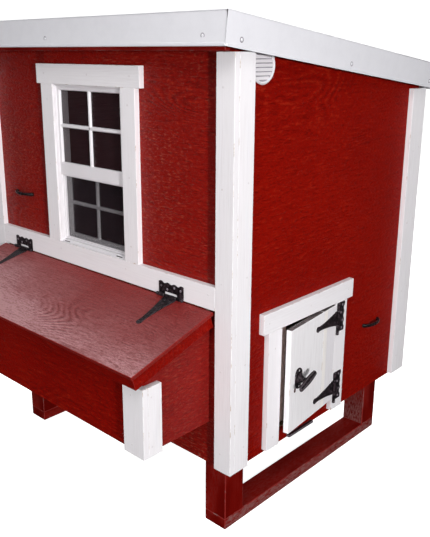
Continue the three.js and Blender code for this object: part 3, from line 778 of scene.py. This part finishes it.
def cross_fascia(name, y_out, y_in):
    """The clad board across the front or the rear, with a folded hem along its bottom."""
    shape = bmesh.new()
    front = y_out < y_in
    step = 1 if front else -1
    bottom = roof_line(y_out) - FASCIA_HEIGHT
    top = FASCIA_HEIGHT - SHEET - 0.5
    lean = ROOF_FALL if front else 0
    reach = ROOF_HALF - CORNER_STRIP - 4
    hem = [(0.8, 0.4), (0, 1.8), (0, HEM - 1.8), (0.9, HEM), (2.4, HEM + 1)]
    board = [(2.4, top), (9, top), (9, 2), (2, 0)]
    profile = [(y_out + step * depth + lean * rise, bottom + rise) for depth, rise in hem + board]
    prism(shape, profile, -reach, reach, ALONG_X)
    # The ends flare outwards: by 2 mm just above the hem, and by nearly 7 mm at the hem's lower edge.
    for vert in shape.verts:
        rise = vert.co.z - bottom
        flare = abs(3.2 * (1 - rise / FASCIA_HEIGHT) - 0.9 * max(0, HEM + 2 - rise))
        vert.co.x += math.copysign(flare, vert.co.x)
    back = y_out + step * 9.3
    core = [(back, bottom + 4), (y_in, bottom + 4), (y_in, bottom + 66), (back + lean * 66, bottom + 66)]
    prism(shape, core, -HALF_WIDTH, HALF_WIDTH, ALONG_X)
    sheet_metal(name.replace("fascia", "fascia_clad"), shape, (name,))
    if front:
        # A dark wedge at each end of the front cladding, a painted shadow in the seam at the roof's corners.
        corner_shade = bmesh.new()
        high, low = bottom + top, bottom + 46
        for sign in (1, -1):
            edge = sign * (reach + 0.2)
            wedge = [(edge, high), (edge + sign * 4.2, high), (edge + sign * 3.6, low)]
            prism(corner_shade, wedge, y_out + lean * 60 + 3, y_out + lean * 60 + 8, ALONG_Y)
        piece("roof_corner_painted_shade", corner_shade, COOP, "coop", (PAINTED_SHADE_DARK,), smooth=False)


def side_fascia(name, sign):
    """A clad board down the slope, its front end square to it and its lower corners clipped."""
    shape = bmesh.new()
    outer, face = sign * ROOF_HALF, sign * (ROOF_HALF - 1.6)
    top, bottom = -SHEET - 0.5, -FASCIA_HEIGHT
    clip = 6
    square = lambda c, b: c + ROOF_FALL * (b - bottom) * (1 if c < 0 else 0)
    rake = lambda a, b, c: (c, square(a, b), roof_line(a) + b)
    sweep = lambda a, b, c: (a, square(c, b), roof_line(c) + b)
    prism(shape, [
        (ROOF_FRONT, bottom + clip), (ROOF_FRONT + clip, bottom + 1), (ROOF_BACK - clip, bottom + 1),
        (ROOF_BACK, bottom + clip), (ROOF_BACK, top), (ROOF_FRONT, top),
    ], face, sign * (ROOF_HALF - CORNER_STRIP), rake)
    prism(shape, [
        (face, bottom + 0.6), (outer, bottom + 0.6), (outer, bottom + HEM - 1.5), (face, bottom + HEM),
    ], ROOF_FRONT + clip, ROOF_BACK - clip, sweep)
    core = sign * (ROOF_HALF - CORNER_STRIP - 0.3)
    inner = sign * (ROOF_HALF - FASCIA)
    prism(shape, [
        (core, bottom + 3), (core, top - 4), (inner, top - 4), (inner, bottom + 3),
    ], ROOF_FRONT + FASCIA, ROOF_BACK - FASCIA, sweep)
    sheet_metal(name.replace("fascia", "fascia_clad"), shape, (name,), ease=0.4)


def roof_sheet():
    """Flat pans with two low lap seams that run down the slope."""
    shape = bmesh.new()
    half, seam = ROOF_HALF, 14
    sweep = lambda a, b, c: (a, c, roof_line(c) + b)
    lip = ROOF_FRONT + ROOF_FALL * FASCIA_HEIGHT
    prism(shape, [(-half, 0), (-half, -SHEET), (half, -SHEET), (half, 0)], lip, ROOF_BACK, sweep)
    for x in (-half / 3, half / 3):
        prism(shape, [(x - seam, 0.1), (x - seam + 3, 2.4), (x + seam - 3, 2.4), (x + seam, 0.1)],
              lip + 30, ROOF_BACK - 4, sweep)
    sheet_metal("roof_pans", shape, ("roof_sheet",), ease=0.3)


FASCIA_SCREWS_X = (-547.5, -126.5, 547.5)
FASCIA_SCREWS_Y = (2, 508, 1020)
FRONT_SCREWS_Z = 1500
REAR_SCREWS_Z = 1366
HEX_SCREW = [(4.9, 0.0), (4.9, 1.0), (3.6, 1.5), (3.4, 3.4), (2.6, 4.0), (0.5, 4.0)]
WASHER = [(7.2, -0.4), (7.2, 0.5), (6.2, 0.8), (0.5, 0.8)]


def roof_screws():
    """Hexagonal screws on grey washers, through the fascias and down the roof's seams."""
    heads, washers = bmesh.new(), bmesh.new()

    def drive(place):
        lathe(washers, WASHER, place, 16)
        lathe(heads, HEX_SCREW, place, 6)

    lean = ROOF_FALL * 25
    for x in FASCIA_SCREWS_X:
        drive(lambda a, b, h: (x + a, ROOF_FRONT + 2.4 + lean - h * 0.5, FRONT_SCREWS_Z + b))
        drive(lambda a, b, h: (x + a, ROOF_BACK - 2.4 + h * 0.5, REAR_SCREWS_Z + b))
    for sign in (1, -1):
        for y in FASCIA_SCREWS_Y:
            z = roof_line(y) - 64
            drive(lambda a, b, h: (sign * (ROOF_HALF - 1.6 + h * 0.38), y + a, z + b))
        for step in range(4):
            y = 30 + 320 * step
            x = sign * ROOF_HALF / 3
            drive(lambda a, b, h: (x + a, y + b, roof_line(y + b) + 2.3 + h * 0.3))
    sheet_metal("roof_screws", heads, ease=0)
    piece("roof_screw_washers", washers, COOP, "coop", (WASHER_GREY,))


cross_fascia("fascia_front", ROOF_FRONT, ROOF_FRONT + FASCIA)
cross_fascia("fascia_rear", ROOF_BACK, ROOF_BACK - FASCIA)
side_fascia("fascia_right", 1)
side_fascia("fascia_left", -1)
roof_sheet()
roof_screws()

# ---------- vent ----------

VENT = (132.5, 1426.5)
VENT_RADIUS = 50
VENT_MOUTH = 42


def vent():
    """A round rim, sloping louvres and a grey disc behind them, a painted shade between the slats."""
    shape = bmesh.new()
    wall = HALF_WIDTH - BOARD
    out = lambda a, b, h: (wall + h, VENT[0] + a, VENT[1] + b)
    rim = [(VENT_RADIUS, 0.2), (VENT_RADIUS, 2.6), (VENT_RADIUS - 2.4, 5.2), (VENT_RADIUS - 5, 5.8),
           (VENT_MOUTH + 0.8, 4.6), (VENT_MOUTH, 3.4), (VENT_MOUTH, 0.2)]
    rings = [[shape.verts.new(out(a, b, h)) for a, b in circle(r, 48)] for r, h in rim]
    skin(shape, rings + rings[:1])
    for step in range(-3, 4):
        rise = step * 11
        reach = math.sqrt(VENT_MOUTH ** 2 - rise ** 2) - 0.2
        slat = [(0.6, rise + 4.6), (1.4, rise + 4.6), (4.8, rise - 3.2), (4.2, rise - 3.8), (0.6, rise - 3.8)]
        prism(shape, [(wall + a, VENT[1] + b) for a, b in slat], VENT[0] - reach, VENT[0] + reach, ALONG_Y)
    vinyl_part("vent_louvres", shape, "coop", ("vent",), ease=0.25)
    shade_disc = bmesh.new()
    lathe(shade_disc, [(VENT_MOUTH + 1, 0.2), (VENT_MOUTH + 1, 0.9)], out, 40)
    piece("vent_painted_shade", shade_disc, COOP, "coop", (WASHER_GREY,), smooth=False)


vent()

# ---------- tee hinges ----------

HINGE_HALF = 52
HINGE_ROOT = 25
HINGE_LEAF = 42
HINGE_LENGTH = 141
PLATE = 2.4
KNUCKLE = 5.2
PIN_HEAD = 8
STAMPED_EASE = 0.45
SCREW_HEAD = [(4.2, 0.0), (4.0, 0.8), (2.8, 1.7), (0.9, 2.0), (0.7, 1.3)]
FACE_UP = lambda x, z, low: (lambda a, b, h: (x + a, low + h, z + b))


def barrel(shape, low, high):
    lathe(shape, [
        (KNUCKLE - 0.7, low), (KNUCKLE, low + 0.7), (KNUCKLE, high - 0.7), (KNUCKLE - 0.7, high),
    ], lambda a, b, h: (h, a, b), 18)


def scalloped_edge():
    """The leaf's far edge: an ear at each end, two swells between and three dips."""
    points = []
    for step in range(41):
        x = HINGE_HALF - 2 * HINGE_HALF * step / 40
        ear = 1.6 if abs(x) > 35 else 0
        points.append((x, HINGE_LEAF - 3.6 + ear - 2.0 * math.cos(2 * math.pi * x / 29)))
    return points


def hinge_leaf(name, place, head_end):
    """The leaf on the frame, with the slot beside its barrel, its screws and the pin's head."""
    shape = bmesh.new()
    low = -PIN_OFFSET + 0.1
    slot = 26
    outline = [
        (-HINGE_HALF, 1), (-slot, 1), (-slot, 9), (-slot + 3, 11.5), (slot - 3, 11.5), (slot, 9), (slot, 1),
        (HINGE_HALF, 1),
    ]
    prism(shape, outline + scalloped_edge(), low, low + PLATE, ALONG_Y)
    head = (0, PIN_HEAD) if head_end > 0 else (PIN_HEAD, 0)
    barrel(shape, -HINGE_HALF, -HINGE_ROOT - 1)
    barrel(shape, HINGE_ROOT + 1, HINGE_HALF)
    lathe(shape, [(2, -HINGE_ROOT - 2), (2, HINGE_ROOT + 2)], lambda a, b, h: (h, a, b), 12)
    for sign, reach in ((1, head[1]), (-1, head[0])):
        if reach:
            end = HINGE_HALF + reach
            lathe(shape, [
                (4, HINGE_HALF - 1), (4, HINGE_HALF + 1), (5.2, HINGE_HALF + 2), (5.2, end - 2), (3.6, end),
                (0.6, end + 0.3),
            ], lambda a, b, h: (sign * h, a, b), 18)
    iron_part(f"{name}_leaf_stamped", shape, place, "coop", f"{name}_leaf", STAMPED_EASE)
    screws = bmesh.new()
    for x, z in ((-41, 27), (-15, 30), (15, 20), (41, 27)):
        lathe(screws, SCREW_HEAD, FACE_UP(x, z, low + PLATE - 0.2), 14)
    piece(f"{name}_leaf_screws", screws, place, "coop", (SCREW_METAL,))


def hinge_strap(name, place, body):
    """The tapered strap, stepped in behind its knuckle and swelling to a round tip."""
    shape = bmesh.new()
    low = -PIN_OFFSET + 0.3
    end = -HINGE_LENGTH
    side = [
        (HINGE_ROOT, -3), (HINGE_ROOT, -14), (HINGE_ROOT - 3, -18), (HINGE_ROOT - 4, -28), (18.5, -38),
        (15, -56), (11.8, -78), (9, end + 44), (7.4, end + 24), (7.8, end + 18),
    ]
    tip = arc((0, end + 9.8), 9.8, 36, -216, 14)
    outline = side + tip + [(-x, z) for x, z in reversed(side)]
    prism(shape, outline, low, low + PLATE, ALONG_Y)
    barrel(shape, -HINGE_ROOT, HINGE_ROOT)
    neck = [(-5.0, -4.6), (-5.0, -1.5), (-4.2, -0.2), (-2.4, -4.6)]
    prism(shape, neck, -HINGE_ROOT + 0.4, HINGE_ROOT - 0.4, ALONG_X)
    for x, z in ((-10, -17), (10, -17), (0, -62), (0, end + 8)):
        lathe(shape, SCREW_HEAD, FACE_UP(x, z, low + PLATE - 0.2), 14)
    iron_part(f"{name}_strap_stamped", shape, place, body, f"{name}_strap", STAMPED_EASE)


def turned(x_axis, y_axis, z_axis, origin):
    """The frame of a hinge: X along the pin, Y out of the board, and the leaf towards +Z."""
    columns = Matrix((x_axis, y_axis, z_axis)).transposed().to_4x4()
    return Matrix.Translation(origin) @ columns


for side, x in zip(("right", "left"), LID_HINGES):
    on_wall = turned((-1, 0, 0), (0, -1, 0), (0, 0, 1), (x, 0, 0))
    on_lid = turned((-1, 0, 0), (0, 0, 1), (0, 1, 0), (x, 0, 0))
    pin_shift = Matrix.Translation((MIDDLE_X - JOINTS["nest_lid_hinge"]["pos_m"][0], 0, 0))
    hinge_leaf(f"lid_hinge_{side}", pin_shift @ LID_WALL @ on_wall, 1)
    hinge_strap(f"lid_hinge_{side}", pin_shift @ LID @ on_lid, "nest_lid")
for place, z in zip(("upper", "lower"), DOOR_HINGES):
    on_post = turned((0, 0, 1), (1, 0, 0), (0, 1, 0), (0, 0, z))
    hinge_leaf(f"door_hinge_{place}", DOOR_POST @ on_post, -1)
    hinge_strap(f"door_hinge_{place}", DOOR @ on_post, "pop_door")

# ---------- the hens' door and its latch ----------

PLANK_JOINT = -90
DOOR_SCREW = (-202, 479)
LATCH_SCREW = (-265, 444)
LATCH_PLATE = (20, 34)
BULGE = 2.6


def on_door(spot, height=0.0, wide=1.0, tall=1.0):
    """Places a lathe on the door's face, its height axis out of the face."""
    return lambda a, b, h: (height - PIN_OFFSET + h, spot[0] + a * wide, spot[1] + b * tall)


def door():
    """Two planks with a hairline joint, and the two stray screws in them."""
    shape = bmesh.new()
    thick = (-PIN_OFFSET - BOARD, -PIN_OFFSET)
    height = (DOOR_BOTTOM, DOOR_TOP)
    block(shape, thick, (-DOOR_WIDTH, PLANK_JOINT - 0.15), height)
    block(shape, thick, (PLANK_JOINT + 0.15, -DOOR_HINGE_EDGE), height)
    shape.normal_update()
    # The second material is a dark brown on the door's top and bottom faces.
    for face in shape.faces:
        if abs(face.normal.z) > 0.9:
            face.material_index = 1
    planks = (door_paint("door_paint"), END_WOOD, WHITE_EDGE)
    piece("pop_door_planks", shape, DOOR, "pop_door", planks, ("pop_door",), ease=1.2)
    screw = bmesh.new()
    lathe(screw, SCREW_HEAD, on_door(DOOR_SCREW, wide=1.3, tall=1.3), 14)
    piece("door_screw", screw, DOOR, "pop_door", (vinyl("grey_screw"),))
    rusty = bmesh.new()
    lathe(rusty, SCREW_HEAD, on_door(LATCH_SCREW, wide=1.4, tall=1.7), 14)
    rust = worn_edge("rusty_screw", RUST, BLACK_RUB, 0.5)
    piece("latch_screw", rusty, DOOR, "pop_door", (rust,))


def latch_plate():
    """A rounded plate with a stout collar round the shaft and a screw near each end."""
    shape = bmesh.new()
    face = -PIN_OFFSET
    outline = []
    for step in range(40):
        turn = 2 * math.pi * step / 40
        across, up = math.cos(turn), math.sin(turn)
        reach = (abs(across) ** BULGE + abs(up) ** BULGE) ** (-1 / BULGE)
        outline.append((LATCH_Y + LATCH_PLATE[0] * reach * across, LATCH_Z + LATCH_PLATE[1] * reach * up))
    prism(shape, outline, face + 0.3, face + 4.6, ALONG_X)
    collar = [(16.5, 2.2), (16.5, 6), (14, 10.5), (11, 15), (9, 22), (5.6, 22)]
    lathe(shape, collar, on_door((LATCH_Y, LATCH_Z)), 24)
    iron_part("latch_plate_lobed", shape, DOOR, "pop_door", "latch_plate", 0.6)
    shape = bmesh.new()
    for rise in (-26, 26):
        lathe(shape, SCREW_HEAD, on_door((LATCH_Y, LATCH_Z + rise), 3), 14)
    piece("latch_plate_screws", shape, DOOR, "pop_door", (vinyl("plate_screw"),))


def latch_handle():
    """A stout, blunt-ended bar on a round shaft, with the cam on the shaft's inner end."""
    turn = Matrix.Translation((-PIN_OFFSET, LATCH_Y, LATCH_Z)) @ Matrix.Rotation(LATCH_TILT, 4, "X")
    shape = bmesh.new()
    lathe(shape, [(5, -36), (5, 14), (8, 16), (9.5, 31), (9.5, 36)], lambda a, b, h: (h, a, b), 20)
    profile = [(-0.55, -1), (0.1, -1), (0.72, -0.45), (0.72, 0.3), (0.1, 1), (-0.55, 1), (-0.75, 0)]
    swell = ((-47, 6.2), (-45, 8.2), (-16, 10.6), (0, 11.4), (16, 10.6), (45, 8.2), (47, 6.2))
    loft(shape, [[(36.1 + size * a, along, size * b) for a, b in profile] for along, size in swell])
    cam = arc((0, 0), 6.5, 0, 180, 10) + arc((0, -33.5), 6.5, 180, 360, 10)
    prism(shape, cam, -36, -32, ALONG_X)
    iron_part("latch_handle_forged", shape, DOOR @ turn, "latch", "latch_handle", 0.9)


door()
latch_plate()
latch_handle()

# ---------- bow handles and ramp hanger ----------

BOW_HALF = 50
BOW_RISE = 18.5
BOW_FEET = 48.5
BOW_ARCH = 3.2
BOW_TALL = 1.35


def bow_handle(name, place):
    """A forged bow: thick in its middle, thin at its necks, with a round foot at each end."""
    shape = bmesh.new()
    rings = []
    for step in range(33):
        along = -1 + step / 16
        x = BOW_HALF * along
        rise = 3 + BOW_RISE * (1 - abs(along) ** BOW_ARCH)
        thick = 3.5 + 1.3 * math.cos(math.pi * along) ** 2
        slope = BOW_RISE * BOW_ARCH * abs(along) ** (BOW_ARCH - 1) * math.copysign(1, along) / BOW_HALF
        lean = math.atan(-slope)
        side = Vector((-math.sin(lean), math.cos(lean)))
        rings.append([(x + side.x * a, rise + side.y * a, b * BOW_TALL) for a, b in circle(thick, 14)])
    loft(shape, rings)
    for sign in (1, -1):
        foot = [(7, 0.1), (7, 2.6), (6, 4.2), (3.5, 5.2)]
        lathe(shape, foot, lambda a, b, h: (sign * BOW_FEET + a, h, b), 20)
    piece(f"{name}_forged", shape, COOP @ place, "coop", (HANDLE_IRON,), (name,), ease=0)


on_front = Matrix.Translation((-412, BOARD, 964.5))
bow_handle("bow_handle_front", on_front @ Matrix.Rotation(math.pi, 4, "Z"))
on_side = Matrix.Translation((HALF_WIDTH - BOARD, 792.5, 510.5))
bow_handle("bow_handle_side", on_side @ Matrix.Rotation(-math.pi / 2, 4, "Z"))


def ramp_hanger():
    """A round-edged bar that a ramp hooks over, drawn in metres from its CAD node's box."""
    low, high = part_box("ramp_hanger")
    middle = (low.z + high.z) / 2
    half = (high.z - low.z) * 0.36
    shape = bmesh.new()
    block(shape, (low.x, high.x), (low.y, high.y), (middle - half, middle + half))
    # The bar's eased edges take the lighter screw grey, a painted highlight along them.
    metal = (IRON, SCREW_METAL)
    here = Matrix.Identity(4)
    piece("ramp_hanger_bar", shape, here, "coop", metal, ("ramp_hanger",), ease=2.5)


ramp_hanger()

# ---------- floor, light and camera ----------

FLOOR_HALF = 12 / MM
CAMERA_SPOT = (1791.9, -1366.2, 1465)
CAMERA_DOWN = 0.277
CAMERA_TURN = 0.762
CAMERA_LENS = 47.0
CAMERA_SHIFT = (0.028, -0.0352)
# Each light: its name, spot and target in the coop's frame, side in metres and power in watts.
LIGHTS = (
    ("key", (4430, -1560, 1600), (500, 0, 700), 0.35, 147),
    ("fill", (1700, -4200, 1000), (300, 0, 700), 1.8, 63),
    ("over_right", (1900, -1700, 3600), (400, 0, 700), 1.6, 47),
    ("behind", (-700, 5000, 4300), (0, 600, 900), 1.5, 190),
    ("left", (-4400, 1900, 700), (-500, 500, 700), 1.2, 90),
)


def studio_floor():
    shape = bmesh.new()
    block(shape, (-FLOOR_HALF, FLOOR_HALF), (-FLOOR_HALF, FLOOR_HALF), (-40, -0.2))
    mesh = bpy.data.meshes.new("studio_floor")
    shape.to_mesh(mesh)
    shape.free()
    mesh.transform(Matrix.Scale(MM, 4))
    floor = bpy.data.objects.new("studio_floor", mesh)
    bpy.context.scene.collection.objects.link(floor)
    glow = {"Emission_Color": (1, 1, 1, 1), "Emission_Strength": 0.95}
    pale = Recipe("studio_white", Roughness=1.0, Specular_IOR_Level=0, **glow)
    pale.colour(pale.mix(pale.noise(2), *FLOOR_WHITES))
    mesh.materials.append(pale.material)
    floor.visible_diffuse = False
    floor.visible_glossy = False


def soft_box(name, spot, target, size, power):
    """A square area light at its spot, turned to its target."""
    light = bpy.data.lights.new(name, "AREA")
    light.shape = "SQUARE"
    light.size = size
    light.energy = power
    obj = bpy.data.objects.new(name, light)
    obj.location = COOP @ Vector(spot)
    back = (Vector(spot) - Vector(target)).normalized()
    obj.rotation_euler = back.to_track_quat("Z", "Y").to_euler()
    bpy.context.scene.collection.objects.link(obj)


def studio_sky():
    """Seen white, while it lights the coop softly from above and less from below."""
    world = bpy.data.worlds.new("studio_sky")
    world.use_nodes = True
    bpy.context.scene.world = world
    nodes, links = world.node_tree.nodes, world.node_tree.links
    nodes.clear()
    ray = nodes.new("ShaderNodeLightPath")
    direction = nodes.new("ShaderNodeTexCoord")
    axes = nodes.new("ShaderNodeSeparateXYZ")
    links.new(direction.outputs["Generated"], axes.inputs[0])
    rise = nodes.new("ShaderNodeMapRange")
    rise.inputs["From Min"].default_value = -0.4
    rise.inputs["From Max"].default_value = 0.9
    rise.inputs["To Min"].default_value = 0.05
    rise.inputs["To Max"].default_value = 0.26
    links.new(axes.outputs["Z"], rise.inputs["Value"])
    lit = nodes.new("ShaderNodeBackground")
    lit.inputs["Color"].default_value = (1, 1, 1, 1)
    links.new(rise.outputs["Result"], lit.inputs["Strength"])
    seen = nodes.new("ShaderNodeBackground")
    seen.inputs["Color"].default_value = (1, 1, 1, 1)
    seen.inputs["Strength"].default_value = 1.1
    mix = nodes.new("ShaderNodeMixShader")
    links.new(ray.outputs["Is Camera Ray"], mix.inputs[0])
    links.new(lit.outputs[0], mix.inputs[1])
    links.new(seen.outputs[0], mix.inputs[2])
    output = nodes.new("ShaderNodeOutputWorld")
    links.new(mix.outputs[0], output.inputs[0])


def camera():
    data = bpy.data.cameras.new("camera")
    data.sensor_width = 36
    data.lens = CAMERA_LENS
    data.shift_x, data.shift_y = CAMERA_SHIFT
    data.clip_start = 0.05
    obj = bpy.data.objects.new("camera", data)
    obj.location = COOP @ Vector(CAMERA_SPOT)
    obj.rotation_euler = (math.pi / 2 - CAMERA_DOWN, 0, CAMERA_TURN)
    bpy.context.scene.collection.objects.link(obj)
    bpy.context.scene.camera = obj


studio_floor()
studio_sky()
for light in LIGHTS:
    soft_box(*light)
camera()
bpy.context.scene.view_settings.view_transform = "Standard"
